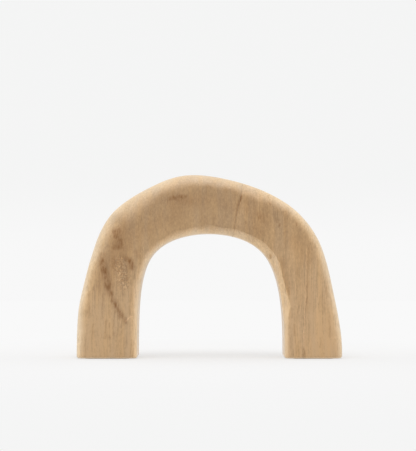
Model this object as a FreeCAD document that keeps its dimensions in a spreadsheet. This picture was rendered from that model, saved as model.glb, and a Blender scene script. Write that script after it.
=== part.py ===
import FreeCAD, Part

import os

import Sketcher

# An arch-shaped book end, carved from two pieces of wood that meet at a slanted joint in the crown.
# Frame: millimetres, +Z up, X along the arch, Y through its depth with the front at -Y. The origin is on
# the surface that the book end stands on, midway between the outer faces of the feet and front to back.

SIZES = {
    "overall_width": (231, "from the outer face of one foot to that of the other"),
    "overall_height": (160, "from the standing surface to the top of the crown"),
    "overall_depth": (50, "front to back"),
    "left_foot_width": (53, "left foot, measured along X at its bottom"),
    "right_foot_width": (50.5, "right foot, measured along X at its bottom"),
    "crown_thickness": (52, "top of the crown down to the highest point of the soffit"),
    "foot_upright": (6, "straight stretch of the outlines above the bottom of each foot"),
    "outer_rounding": (9, "radius of the front and rear edges along the outside"),
    "inner_rounding": (5, "radius of the front and rear edges along the inside"),
    "foot_rounding": (2, "radius of the edges round the bottom of each foot"),
    "seam_centre_across": (24.7, "middle of the crown joint, right of the origin"),
    "seam_drop": (4.5, "middle of the crown joint, below the middle of the crown's thickness"),
    "seam_lean": (10.7, "degrees that the joint leans to the right at its top"),
    "glue_film": (0.2, "thickness of the glue line"),
    "dowel_diameter": (10, "hardwood dowel"),
    "dowel_length": (50, "hardwood dowel"),
    "dowel_chamfer": (1, "at both ends of a dowel"),
    "dowel_spacing": (22, "between the two dowels' axes, front to back"),
    "dowel_clearance": (0.05, "between a dowel and its bore, all round"),
    "bore_spare": (2, "depth of a bore past the end of its dowel"),
    "pad_thickness": (1.5, "felt"),
    "pad_proud": (0.5, "felt that stands below the wood"),
    "pad_margin": (7, "wood left round the recess of a pad"),
    "pad_corner": (5, "corner radius of a pad"),
    "pad_clearance": (0.2, "between a pad and the wall of its recess"),
}

# Control points of the two outlines, from the left foot to the right foot: how far each lies across and
# how high. "left" and "right" measure inwards from the outer face of that foot, "left_inside" and
# "right_inside" towards the middle of the arch from the inner face of that foot, and "middle" to the
# right of the origin. "foot", "upright" and "soffit" measure up from the bottom of the wood, from the top
# of its straight stretch and from the highest point of the soffit, and "top" down from the crown's top.
OUTER = (
    ("heel_left", "left", 0, "upright", 0),
    ("ankle_left", "left", 0, "foot", 21.5),
    ("shin_left", "left", 1, "foot", 45.5),
    ("knee_left", "left", 6.5, "foot", 65.5),
    ("flank_left", "left", 15, "top", 60),
    ("shoulder_left", "left", 28.5, "top", 30),
    ("rise_left", "middle", -51, "top", 9.5),
    ("peak", "middle", -25, "top", -1.2),
    ("crown", "middle", 4, "top", 0.5),
    ("fall_right", "middle", 41.5, "top", 10),
    ("shoulder_right", "right", 39.5, "top", 28),
    ("flank_right", "right", 17.5, "top", 57),
    ("knee_right", "right", 9.5, "foot", 67.5),
    ("shin_right", "right", 3, "foot", 36.5),
    ("ankle_right", "right", 0, "foot", 17.5),
    ("heel_right", "right", 0, "upright", 0),
)
INNER = (
    ("toe_left", "left_inside", 0, "upright", 0),
    ("calf_left", "left_inside", 0, "foot", 24.5),
    ("thigh_left", "left_inside", 0.3, "foot", 51.5),
    ("haunch_left", "left_inside", 7.5, "top", 67.3),
    ("soffit_left", "middle", -22, "soffit", 1),
    ("soffit_right", "middle", 17, "soffit", 1.5),
    ("haunch_right", "right_inside", 16, "top", 63.6),
    ("thigh_right", "right_inside", 2.4, "foot", 62.5),
    ("calf_right", "right_inside", 0, "foot", 29.5),
    ("toe_right", "right_inside", 0, "upright", 0),
)
DATUMS = {
    "left": ("-Sizes.overall_width / 2", 1),
    "right": ("Sizes.overall_width / 2", -1),
    "left_inside": ("-Sizes.overall_width / 2 + Sizes.left_foot_width", 1),
    "right_inside": ("Sizes.overall_width / 2 - Sizes.right_foot_width", -1),
    "middle": ("0", 1),
    "foot": ("Sizes.pad_proud", 1),
    "upright": ("Sizes.pad_proud + Sizes.foot_upright", 1),
    "top": ("Sizes.overall_height", -1),
    "soffit": ("Sizes.overall_height - Sizes.crown_thickness", 1),
}
DEGREE = 3
NEARLY = 0.01
FRONT_AND_REAR = (("front", -1), ("rear", 1))


def make_sheet(doc):
    """The driving dimensions, one cell each, with the size's name as the cell's alias."""
    values = {name: value for name, (value, _) in SIZES.items()}
    for name, _, across, _, rise in OUTER + INNER:
        values[name + "_across"] = across
        values[name + "_rise"] = rise
    sheet = doc.addObject("Spreadsheet::Sheet", "Sizes")
    for row, (name, value) in enumerate(values.items(), start=1):
        sheet.set(f"A{row}", name)
        sheet.set(f"B{row}", str(value))
        sheet.setAlias(f"B{row}", name)
    doc.recompute()
    return sheet


def origin_plane(body, role):
    return next(plane for plane in body.Origin.OriginFeatures if plane.Role == role)


def add_sketch(body, name, role):
    sketch = body.newObject("Sketcher::SketchObject", name)
    sketch.AttachmentSupport = [(origin_plane(body, role), "")]
    sketch.MapMode = "FlatFace"
    return sketch


def fix_point(sketch, geometry, point, across, up, name):
    """Ties a point of the sketch to two expressions, measured from the sketch's origin."""
    for axis, expression in (("DistanceX", across), ("DistanceY", up)):
        label = f"{name}_{axis[-1]}"
        value = float(sketch.evalExpression(expression))
        index = sketch.addConstraint(Sketcher.Constraint(axis, -1, 1, geometry, point, value))
        sketch.renameConstraint(index, label)
        sketch.setExpression(f"Constraints.{label}", expression)


def control_point(point):
    """The two expressions that place a control point of an outline."""
    name, side, _, level, _ = point
    places = []
    for datum, alias in ((side, f"Sizes.{name}_across"), (level, f"Sizes.{name}_rise")):
        start, direction = DATUMS[datum]
        places.append(f"{start} {'+' if direction > 0 else '-'} {alias}")
    return places


def add_outline(sketch, points):
    """A smooth curve that starts at the first control point and ends at the last one."""
    places = [control_point(point) for point in points]
    poles = [
        FreeCAD.Vector(float(sketch.evalExpression(across)), float(sketch.evalExpression(up)), 0)
        for across, up in places
    ]
    spans = len(poles) - DEGREE
    curve = Part.BSplineCurve()
    ends_and_joins = [DEGREE + 1] + [1] * (spans - 1) + [DEGREE + 1]
    curve.buildFromPolesMultsKnots(poles, ends_and_joins, list(range(spans + 1)), False, DEGREE)
    outline = sketch.addGeometry(curve, False)
    sketch.exposeInternalGeometry(outline)
    first_pole = outline + 1
    for number, (point, (across, up)) in enumerate(zip(points, places)):
        fix_point(sketch, first_pole + number, 3, across, up, point[0])
    return outline


def add_foot(sketch, outer, inner, end, foot):
    """Joins the outlines at one foot by an upright line, the bottom of the foot and another upright."""
    outside, inside = (
        sketch.Geometry[outline].toShape().Vertexes[end - 1].Point for outline in (outer, inner)
    )
    bottom = float(sketch.evalExpression("Sizes.pad_proud"))
    corners = [
        outside,
        FreeCAD.Vector(outside.x, bottom, 0),
        FreeCAD.Vector(inside.x, bottom, 0),
        inside,
    ]
    lines = [
        sketch.addGeometry(Part.LineSegment(start, stop), False)
        for start, stop in zip(corners, corners[1:])
    ]
    for line, direction in zip(lines, ("Vertical", "Horizontal", "Vertical")):
        sketch.addConstraint(Sketcher.Constraint(direction, line))
    joints = ((outer, end, lines[0], 1), (lines[0], 2, lines[1], 1),
              (lines[1], 2, lines[2], 1), (lines[2], 2, inner, end))
    for joint in joints:
        sketch.addConstraint(Sketcher.Constraint("Coincident", *joint))
    level = sketch.addConstraint(Sketcher.Constraint("DistanceY", -1, 1, lines[1], 1, bottom))
    sketch.renameConstraint(level, f"{foot}_bottom")
    sketch.setExpression(f"Constraints.{foot}_bottom", "Sizes.pad_proud")


def edge_names(shape, wanted):
    return [f"Edge{number}" for number, edge in enumerate(shape.Edges, start=1) if wanted(edge)]


def add_fillet(body, name, base, radius, wanted):
    fillet = body.newObject("PartDesign::Fillet", name)
    fillet.Base = (base, edge_names(base.Shape, wanted))
    fillet.setExpression("Radius", radius)
    body.Document.recompute()
    return fillet


def make_arch(doc, sheet):
    """The whole carved arch, as it looks once its two pieces are glued."""
    body = doc.addObject("PartDesign::Body", "carved_arch")
    sketch = add_sketch(body, "arch_profile", "XZ_Plane")
    outer = add_outline(sketch, OUTER)
    inner = add_outline(sketch, INNER)
    for end, foot in ((1, "left"), (2, "right")):
        add_foot(sketch, outer, inner, end, foot)
    block = body.newObject("PartDesign::Pad", "arch_block")
    block.Profile = sketch
    block.SideType = "Symmetric"
    block.setExpression("Length", "Sizes.overall_depth")
    doc.recompute()
    mid_crown = sheet.overall_height - sheet.crown_thickness / 2

    def spans_arch(edge):
        """True for the long front and rear edges, which run from one foot over the crown to the other."""
        return edge.BoundBox.XMin < 0 < edge.BoundBox.XMax

    def is_outside(edge):
        return spans_arch(edge) and edge.BoundBox.ZMax > mid_crown

    def is_inside(edge):
        return spans_arch(edge) and edge.BoundBox.ZMax < mid_crown

    def is_underfoot(edge):
        return edge.BoundBox.ZMax < sheet.pad_proud + NEARLY

    outside = add_fillet(body, "outside_rounding", block, "Sizes.outer_rounding", is_outside)
    inside = add_fillet(body, "inside_rounding", outside, "Sizes.inner_rounding", is_inside)
    add_fillet(body, "foot_rounding", inside, "Sizes.foot_rounding", is_underfoot)
    return body


def place_on_seam(thing, along, depth, up, turn):
    """Places a thing from the middle of the crown joint: along its normal, in depth and up the joint."""
    lean = "Sizes.seam_lean"
    middle = "Sizes.overall_height - Sizes.crown_thickness / 2 - Sizes.seam_drop"
    thing.Placement = FreeCAD.Placement(FreeCAD.Vector(), FreeCAD.Rotation(FreeCAD.Vector(0, 1, 0), 1))
    thing.setExpression("Placement.Rotation.Angle", turn)
    thing.setExpression(
        "Placement.Base.x",
        f"Sizes.seam_centre_across + ({along}) * cos({lean}) + ({up}) * sin({lean})",
    )
    thing.setExpression("Placement.Base.y", depth)
    thing.setExpression(
        "Placement.Base.z",
        f"{middle} - ({along}) * sin({lean}) + ({up}) * cos({lean})",
    )


def make_seam_slab(doc, name, start, thickness):
    """A slab parallel to the crown joint, larger than the arch in every other direction."""
    slab = doc.addObject("Part::Box", name)
    slab.setExpression("Length", thickness)
    slab.setExpression("Width", "2 * Sizes.overall_depth")
    slab.setExpression("Height", "4 * Sizes.overall_height")
    place_on_seam(slab, start, "-Sizes.overall_depth", "-2 * Sizes.overall_height", "Sizes.seam_lean")
    return slab


def make_bore(doc, name, side):
    """The hole for one dowel, which reaches past the dowel's end in both pieces of wood."""
    bore = doc.addObject("Part::Cylinder", name)
    bore.setExpression("Radius", "Sizes.dowel_diameter / 2 + Sizes.dowel_clearance")
    bore.setExpression("Height", "Sizes.dowel_length + 2 * Sizes.bore_spare")
    start = "-Sizes.dowel_length / 2 - Sizes.bore_spare"
    place_on_seam(bore, start, f"{side} * Sizes.dowel_spacing / 2", "0", "90 + Sizes.seam_lean")
    return bore


def make_dowel(doc, name, side):
    body = doc.addObject("PartDesign::Body", name)
    sketch = add_sketch(body, f"{name}_section", "XY_Plane")
    circle = sketch.addGeometry(Part.Circle(FreeCAD.Vector(), FreeCAD.Vector(0, 0, 1), 1), False)
    sketch.addConstraint(Sketcher.Constraint("Coincident", circle, 3, -1, 1))
    size = sketch.addConstraint(Sketcher.Constraint("Diameter", circle, 2))
    sketch.renameConstraint(size, "diameter")
    sketch.setExpression("Constraints.diameter", "Sizes.dowel_diameter")
    rod = body.newObject("PartDesign::Pad", f"{name}_rod")
    rod.Profile = sketch
    rod.setExpression("Length", "Sizes.dowel_length")
    doc.recompute()
    chamfer = body.newObject("PartDesign::Chamfer", f"{name}_chamfer")
    chamfer.Base = (rod, edge_names(rod.Shape, lambda edge: edge.Curve.TypeId == "Part::GeomCircle"))
    chamfer.setExpression("Size", "Sizes.dowel_chamfer")
    start = "-Sizes.dowel_length / 2"
    place_on_seam(body, start, f"{side} * Sizes.dowel_spacing / 2", "0", "90 + Sizes.seam_lean")
    return body


def make_plate(doc, name, foot, gap):
    """A felt pad under a foot, or the same with a gap all round, which is the recess that takes the pad."""
    body = doc.addObject("PartDesign::Body", name)
    sketch = add_sketch(body, f"{name}_outline", "XY_Plane")
    signs = (("-", "-"), ("+", "-"), ("+", "+"), ("-", "+"))
    corners = [FreeCAD.Vector(float(across + "1"), float(up + "1"), 0) for across, up in signs]
    sides = [
        sketch.addGeometry(Part.LineSegment(start, stop), False)
        for start, stop in zip(corners, corners[1:] + corners[:1])
    ]
    for side, following in zip(sides, sides[1:] + sides[:1]):
        sketch.addConstraint(Sketcher.Constraint("Coincident", side, 2, following, 1))
    half_length = f"Sizes.{foot}_foot_width / 2 - Sizes.pad_margin + {gap}"
    half_width = f"Sizes.overall_depth / 2 - Sizes.pad_margin + {gap}"
    for number, (side, (across, up)) in enumerate(zip(sides, signs)):
        fix_point(sketch, side, 1, f"{across}({half_length})", f"{up}({half_width})", f"corner{number}")
    plate = body.newObject("PartDesign::Pad", f"{name}_plate")
    plate.Profile = sketch
    plate.setExpression("Length", "Sizes.pad_thickness")
    doc.recompute()

    def is_upright(edge):
        return edge.BoundBox.XLength + edge.BoundBox.YLength < NEARLY

    add_fillet(body, f"{name}_corners", plate, f"Sizes.pad_corner + {gap}", is_upright)
    outer_face, inwards = DATUMS[foot]
    body.setExpression(
        "Placement.Base.x", f"{outer_face} {'+' if inwards > 0 else '-'} Sizes.{foot}_foot_width / 2"
    )
    return body


def cut_away(doc, label, base, tools):
    """The base without the space that the tools take up."""
    removed = doc.addObject("Part::MultiFuse", f"removed_from_{label}")
    removed.Shapes = tools
    rest = doc.addObject("Part::Cut", label)
    rest.Base = base
    rest.Tool = removed
    return rest


def make_parts(doc, sheet):
    arch = make_arch(doc, sheet)
    bores = [make_bore(doc, f"{place}_bore", side) for place, side in FRONT_AND_REAR]
    dowels = [make_dowel(doc, f"{place}_dowel", side) for place, side in FRONT_AND_REAR]
    pads = [make_plate(doc, f"{foot}_foot_pad", foot, "0") for foot in ("left", "right")]
    left_recess = make_plate(doc, "left_recess", "left", "Sizes.pad_clearance")
    right_recess = make_plate(doc, "right_recess", "right", "Sizes.pad_clearance")
    half_film = "Sizes.glue_film / 2"
    reach = "2 * Sizes.overall_width"
    right_side = make_seam_slab(doc, "right_of_seam", f"-{half_film}", reach)
    left_side = make_seam_slab(doc, "left_of_seam", f"{half_film} - {reach}", reach)
    film = make_seam_slab(doc, "seam_film", f"-{half_film}", "Sizes.glue_film")
    joint_section = doc.addObject("Part::Common", "joint_section")
    joint_section.Base = arch
    joint_section.Tool = film
    return [
        cut_away(doc, "left_limb", arch, [right_side, left_recess] + bores),
        cut_away(doc, "right_limb", arch, [left_side, right_recess] + bores),
        cut_away(doc, "crown_glue_line", joint_section, bores),
        *dowels,
        *pads,
    ]


def check(doc, parts):
    """Stops before anything is written if a feature failed or a part isn't one sound solid."""
    for thing in doc.Objects:
        if {"Invalid", "Error"} & set(thing.State):
            raise RuntimeError(f"{thing.Label} failed: {thing.State}")
    for part in parts:
        if part.Shape.isNull() or not part.Shape.isValid() or len(part.Shape.Solids) != 1:
            raise RuntimeError(f"{part.Label} isn't one valid solid")


def main():
    doc = FreeCAD.newDocument("arch_book_end")
    sheet = make_sheet(doc)
    parts = make_parts(doc, sheet)
    doc.recompute()
    check(doc, parts)
    os.makedirs("parts", exist_ok=True)
    for part in parts:
        part.Shape.exportStep(f"parts/{part.Label}.step")
        print(f"{part.Label}: {part.Shape.Volume / 1000:.2f} cubic centimetres")


main()
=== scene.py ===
"""An arch book end of carved wood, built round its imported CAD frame. Everything is in metres, in that frame.

The two limbs are swept along the frame's own outlines, with edges that are rounded or chamfered unevenly,
as a knife and sandpaper leave them. The wood is procedural: upright fibres and pores, with stains, streaks
and a knot drawn on the front only. The back and the sides can't be seen in the reference, and stay plain.
"""

import math

import bmesh
import bpy
import numpy as np
from mathutils import Matrix, Vector, noise
from mathutils.bvhtree import BVHTree


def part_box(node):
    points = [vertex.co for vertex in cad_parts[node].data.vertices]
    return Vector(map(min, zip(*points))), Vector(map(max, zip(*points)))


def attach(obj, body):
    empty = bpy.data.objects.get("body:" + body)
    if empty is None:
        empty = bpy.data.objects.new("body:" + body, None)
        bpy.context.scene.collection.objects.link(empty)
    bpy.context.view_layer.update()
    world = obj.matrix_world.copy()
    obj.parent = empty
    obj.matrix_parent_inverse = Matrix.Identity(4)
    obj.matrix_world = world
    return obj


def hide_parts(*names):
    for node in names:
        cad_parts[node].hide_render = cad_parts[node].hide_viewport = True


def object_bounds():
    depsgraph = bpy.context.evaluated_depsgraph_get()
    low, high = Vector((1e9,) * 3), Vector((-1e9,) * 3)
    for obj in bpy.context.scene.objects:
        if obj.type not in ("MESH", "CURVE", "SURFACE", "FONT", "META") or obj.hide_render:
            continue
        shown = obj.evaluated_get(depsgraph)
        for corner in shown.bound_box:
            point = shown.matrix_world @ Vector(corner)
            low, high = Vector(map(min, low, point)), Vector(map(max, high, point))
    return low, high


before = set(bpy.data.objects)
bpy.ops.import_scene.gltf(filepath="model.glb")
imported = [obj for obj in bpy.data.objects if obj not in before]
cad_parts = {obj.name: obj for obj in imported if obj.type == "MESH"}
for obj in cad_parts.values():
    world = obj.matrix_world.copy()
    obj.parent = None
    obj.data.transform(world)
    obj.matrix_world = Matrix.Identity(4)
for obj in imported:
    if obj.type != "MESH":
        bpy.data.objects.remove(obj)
cad_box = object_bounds()

MM = 0.001
LOW, HIGH = (np.array(corner) for corner in cad_box)
HALF_DEPTH = (HIGH[1] - LOW[1]) / 2


# ---------------------------------------------------------------- outlines, read from the frame

STEP = 0.5 * MM
SMOOTHING = 2.5 * MM
FEELER_HEIGHT = 45 * MM
FEELER_REACH = 1.0
FEELERS = 800
FOOT_GAP = 4 * MM
PAIRS = 500
TURN_SMOOTHING = 9 * MM
SEAM_PULL = 16 * MM
MIDDLE_POINTS = 3000


def solid_tree(*names):
    """One search tree for the surfaces of several CAD nodes."""
    places, faces = [], []
    for name in names:
        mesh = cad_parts[name].data
        start = len(places)
        places.extend(vertex.co.copy() for vertex in mesh.vertices)
        faces.extend([start + corner for corner in polygon.vertices] for polygon in mesh.polygons)
    return BVHTree.FromPolygons(places, faces)


def feel(tree, origin, direction, outside):
    """Where a line in the plane y = 0 meets the inside or the outside of the arch."""
    origin, direction = Vector((origin[0], 0, origin[1])), Vector((direction[0], 0, direction[1]))
    if outside:
        origin, direction = origin + direction * FEELER_REACH, -direction
    hit = tree.ray_cast(origin, direction)[0]
    return np.array((hit.x, hit.z))


def lengths(line):
    """How far along a line of points each point is."""
    return np.concatenate([[0], np.cumsum(np.linalg.norm(np.diff(line, axis=0), axis=1))])


def blur(values, spacing, width):
    """Gaussian smoothing that keeps straight ends straight."""
    reach = int(3 * width / spacing)
    kernel = np.exp(-0.5 * (np.arange(-reach, reach + 1) * spacing / width) ** 2)
    kernel /= kernel.sum()
    steps = np.arange(1, reach + 1)[:, None]
    columns = values.reshape(len(values), -1)
    before = columns[0] - (columns[1] - columns[0]) * steps[::-1]
    after = columns[-1] + (columns[-1] - columns[-2]) * steps
    padded = np.concatenate([before, columns, after])
    smooth = [np.convolve(column, kernel, "valid") for column in padded.T]
    return np.stack(smooth, 1).reshape(values.shape)


def resample(line, spacing):
    """The same line with evenly spaced points."""
    along = lengths(line)
    places = np.linspace(0, along[-1], int(round(along[-1] / spacing)) + 1)
    return np.stack([np.interp(places, along, column) for column in line.T], 1)


def trace(tree, outside, foot_level):
    """The inner or outer outline of the arch at y = 0, from the left foot to the right one."""
    rows = np.arange(foot_level + FOOT_GAP, FEELER_HEIGHT, STEP)
    left = [feel(tree, (0, row), (-1, 0), outside) for row in rows]
    right = [feel(tree, (0, row), (1, 0), outside) for row in rows[::-1]]
    angles = np.linspace(math.pi, 0, FEELERS)
    over = [feel(tree, (0, FEELER_HEIGHT), (math.cos(a), math.sin(a)), outside) for a in angles]
    line = resample(np.array(left + over + right), STEP)
    line = blur(line, STEP, SMOOTHING)
    start, end = np.array((line[0][0], foot_level)), np.array((line[-1][0], foot_level))
    return resample(np.vstack([start, line, end]), STEP)


def crossing(start, direction, line):
    """How far along a line of points a ray from start first crosses it."""
    offset = line - start
    side = offset[:, 0] * direction[1] - offset[:, 1] * direction[0]
    ahead = offset @ direction > 0
    change = np.nonzero((side[:-1] * side[1:] <= 0) & ahead[:-1] & ahead[1:])[0]
    first = change[0]
    share = side[first] / (side[first] - side[first + 1] + 1e-15)
    return lengths(line)[first] + share * STEP


def at(line, along):
    """The places a given way along a line."""
    distance = lengths(line)
    return np.stack([np.interp(along, distance, column) for column in line.T], -1)


def seam_line():
    """The middle of the crown joint and its direction, upwards, in the plane of the arch."""
    places = np.array([vertex.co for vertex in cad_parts["crown_glue_line"].data.vertices])[:, [0, 2]]
    middle = (places.min(0) + places.max(0)) / 2
    upwards = np.linalg.svd(places - places.mean(0))[2][0]
    return middle, upwards * np.sign(upwards[1])


FOOT_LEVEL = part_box("left_limb")[0].z
GLUE = 0.2 * MM
arch_tree = solid_tree("left_limb", "right_limb", "crown_glue_line")
OUTER = trace(arch_tree, True, FOOT_LEVEL)
INNER = trace(arch_tree, False, FOOT_LEVEL)
SEAM_MIDDLE, SEAM_UP = seam_line()
SEAM_INNER = crossing(SEAM_MIDDLE, -SEAM_UP, INNER)


def pair_outlines():
    """For places along the inner outline, those straight across the wood along the outer one."""
    along = np.linspace(0, lengths(INNER)[-1], PAIRS)
    ahead = at(INNER, along + STEP) - at(INNER, along - STEP)
    angle = np.unwrap(np.arctan2(ahead[:, 1], ahead[:, 0])) + math.pi / 2
    angle = blur(angle, along[1], TURN_SMOOTHING)
    seam_angle = math.atan2(SEAM_UP[1], SEAM_UP[0])
    nearness = np.exp(-(((along - SEAM_INNER) / SEAM_PULL) ** 2))
    angle += nearness * (seam_angle - np.interp(SEAM_INNER, along, angle))
    across = np.stack([np.cos(angle), np.sin(angle)], 1)
    matched = np.array([crossing(start, way, OUTER) for start, way in zip(at(INNER, along), across)])
    matched[0], matched[-1] = 0, lengths(OUTER)[-1]
    return along, np.maximum.accumulate(matched)


PAIRED = pair_outlines()


def partner(along_inner):
    """The way along the outer outline that matches one along the inner outline."""
    return np.interp(along_inner, *PAIRED)


def middle_line():
    """Ways along the inner outline, and the matching ways along the middle of the wood."""
    along = np.linspace(0, PAIRED[0][-1], MIDDLE_POINTS)
    return along, lengths((at(INNER, along) + at(OUTER, partner(along))) / 2)


MIDDLE = middle_line()
ARCH_LENGTH = MIDDLE[1][-1]


# ---------------------------------------------------------------- the shape of a section

CORNERS = ("inner_front", "outer_front", "outer_rear", "inner_rear")
KNIFE_STEP = 1.2 * MM
FOOT_ROUNDING = 2.0 * MM
FOOT_STEPS = 6
FLAT_POINTS = 22
SIDE_POINTS = 20
CORNER_POINTS = 12
SEAM_LEAD = 0.4 * MM
SEAM_EASE = 0.01 * MM
GLUE_RECESS = 0.01 * MM

# Each row: the share of the arch's length, how far the edge reaches over the face and down the side, in mm,
# and its roundness, from 1, a flat chamfer, to 2, a round.
LEFT_EDGES = {
    "outer_front": (
        (0.00, 11.0, 7.5, 2.0), (0.05, 14.5, 9.0, 1.95), (0.12, 14.5, 9.0, 1.95),
        (0.24, 16.0, 11.5, 1.75), (0.30, 20.0, 14.0, 1.55), (0.35, 18.5, 14.0, 1.5),
        (0.40, 13.5, 12.5, 1.6), (0.44, 11.6, 11.5, 1.65), (0.53, 11.0, 10.5, 1.6),
        (0.58, 10.6, 9.8, 1.55),
    ),
    "outer_rear": (
        (0.00, 7.0, 7.0, 2.0), (0.15, 9.0, 9.5, 2.0), (0.30, 11.0, 10.0, 1.8), (0.40, 12.0, 11.0, 1.6),
        (0.50, 10.5, 10.0, 1.6), (0.58, 10.0, 9.5, 1.5),
    ),
    "inner_front": (
        (0.00, 6.0, 5.0, 2.0), (0.08, 8.0, 6.0, 1.8), (0.20, 8.0, 6.0, 1.8), (0.35, 6.5, 5.5, 1.8),
        (0.44, 7.2, 6.2, 1.5), (0.53, 7.0, 6.2, 1.4), (0.58, 6.6, 6.0, 1.3),
    ),
    "inner_rear": (
        (0.00, 5.0, 5.0, 2.0), (0.25, 6.0, 5.5, 1.6), (0.40, 5.5, 6.0, 1.3), (0.58, 5.5, 5.5, 1.6),
    ),
}
RIGHT_EDGES = {
    "outer_front": (
        (0.56, 10.6, 9.8, 1.55), (0.585, 12.0, 9.8, 1.6), (0.62, 11.5, 9.8, 1.65),
        (0.66, 10.5, 9.5, 1.75), (0.75, 12.0, 10.0, 1.9), (0.95, 12.5, 9.0, 2.0), (1.00, 9.5, 7.0, 2.0),
    ),
    "outer_rear": (
        (0.56, 10.0, 9.5, 1.5), (0.70, 10.0, 9.0, 1.7), (0.85, 8.5, 8.5, 2.0), (1.00, 7.0, 7.0, 2.0),
    ),
    "inner_front": (
        (0.56, 6.6, 6.0, 1.3), (0.65, 6.4, 5.5, 1.12), (0.74, 7.0, 5.8, 1.10), (0.80, 5.2, 5.5, 1.10),
        (0.84, 5.9, 5.5, 1.10), (0.872, 6.4, 5.5, 1.12), (0.895, 4.4, 5.0, 1.20),
        (0.93, 5.2, 5.0, 1.60), (1.00, 5.2, 5.0, 1.90),
    ),
    "inner_rear": (
        (0.56, 5.5, 5.5, 1.6), (0.75, 6.0, 6.0, 1.4), (1.00, 5.0, 5.0, 2.0),
    ),
}
WAVER = 0.09
WAVER_LENGTH = 9 * MM
FINER, COARSE_SHARE, FINE_SHARE = 2.7, 1.5, 0.8
FIRST_SEED, SEED_STEP, TILT_SEED = 11, 5, 3.7
UNDULATION = 0.16 * MM
UNDULATION_LENGTH = 22 * MM
RIPPLE = 0.05 * MM
RIPPLE_LENGTH = 5 * MM


def waver(place, seed):
    """A slow unevenness along an edge, about -1 to 1."""
    coarse = noise.noise(Vector((place / WAVER_LENGTH, seed, 0.5)))
    fine = noise.noise(Vector((place / WAVER_LENGTH * FINER, seed, 7.5)))
    return COARSE_SHARE * coarse + FINE_SHARE * fine


def edge_values(rows, shares, seed):
    """The two reaches and the roundness of one edge at every station."""
    table = np.array(rows).T
    over, down, roundness = (np.interp(shares, table[0], column) for column in table[1:])
    uneven = np.array([waver(share * ARCH_LENGTH, seed) for share in shares])
    tilt = np.array([waver(share * ARCH_LENGTH, seed + TILT_SEED) for share in shares])
    return over * MM * (1 + WAVER * uneven), down * MM * (1 + WAVER * tilt), roundness


def corner_curve(over, down, roundness):
    """Points round one corner: how far they are from it over the face and down the side."""
    turn = np.linspace(0, math.pi / 2, CORNER_POINTS + 1)
    power = (2 / roundness)[:, None]
    return over[:, None] * (1 - np.sin(turn) ** power), down[:, None] * (1 - np.cos(turn) ** power)


def between(start, end, count):
    """Evenly spaced values between two, without either of them."""
    share = np.arange(1, count) / count
    return start[:, None] + (end - start)[:, None] * share


def section_rings(width, edges):
    """Closed rings, one for each station: across (from the inner outline out) and depth (front to rear)."""
    front, rear = -HALF_DEPTH, HALF_DEPTH
    curves = {name: corner_curve(*edges[name]) for name in CORNERS}
    width = width[:, None]
    over, down = curves["outer_front"]
    outer_front = width - over, front + down
    over, down = curves["outer_rear"]
    outer_rear = width - over[:, ::-1], rear - down[:, ::-1]
    over, down = curves["inner_rear"]
    inner_rear = over, rear - down
    over, down = curves["inner_front"]
    inner_front = over[:, ::-1], front + down[:, ::-1]
    across, depth = [], []
    order = (outer_front, outer_rear, inner_rear, inner_front)
    counts = (SIDE_POINTS, FLAT_POINTS, SIDE_POINTS, FLAT_POINTS)
    for corner, following, count in zip(order, order[1:] + order[:1], counts):
        across += [corner[0], between(corner[0][:, -1], following[0][:, 0], count)]
        depth += [corner[1], between(corner[1][:, -1], following[1][:, 0], count)]
    return np.hstack(across), np.hstack(depth)


def inward(across, depth):
    """Unit directions into the wood, round each ring."""
    ahead = np.roll(across, -1, 1) - np.roll(across, 1, 1), np.roll(depth, -1, 1) - np.roll(depth, 1, 1)
    size = np.hypot(*ahead)
    return -ahead[1] / size, ahead[0] / size


# ---------------------------------------------------------------- stations along a limb

def stations(side):
    """Pairs of points, inner and outer, from foot to seam, with their share of the arch and their inset."""
    turn = np.linspace(0, math.pi / 2, FOOT_STEPS + 1)
    rise, inset = FOOT_ROUNDING * (1 - np.cos(turn)), FOOT_ROUNDING * (1 - np.sin(turn))
    seam_normal = np.array((SEAM_UP[1], -SEAM_UP[0]))
    end = SEAM_MIDDLE + seam_normal * GLUE / 2 * side
    inner_end = crossing(end, -SEAM_UP, INNER)
    share_end = np.interp(inner_end, *MIDDLE) / ARCH_LENGTH
    foot_top, foot = FOOT_ROUNDING, rise
    if side > 0:
        far_end = lengths(INNER)[-1]
        foot_top, foot = far_end - FOOT_ROUNDING, far_end - rise
    share_foot = np.interp(foot_top, *MIDDLE) / ARCH_LENGTH
    count = int(round(abs(share_end - share_foot) * ARCH_LENGTH / KNIFE_STEP))
    shares = np.linspace(share_foot, share_end, count + 1)[1:]
    along = np.concatenate([foot, np.interp(shares * ARCH_LENGTH, MIDDLE[1], MIDDLE[0])])
    inner, outer = at(INNER, along), at(OUTER, partner(along))
    inner[-1], outer[-1] = at(INNER, inner_end), at(OUTER, crossing(end, SEAM_UP, OUTER))
    lead = SEAM_LEAD / KNIFE_STEP
    before = inner[-1] + (inner[-2] - inner[-1]) * lead, outer[-1] + (outer[-2] - outer[-1]) * lead
    inner, outer = np.insert(inner, -1, before[0], 0), np.insert(outer, -1, before[1], 0)
    along = np.insert(along, -1, along[-1])
    share = np.interp(along, *MIDDLE) / ARCH_LENGTH
    insets = np.zeros(len(along))
    insets[:FOOT_STEPS + 1] = inset
    return inner, outer, share, insets


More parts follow.
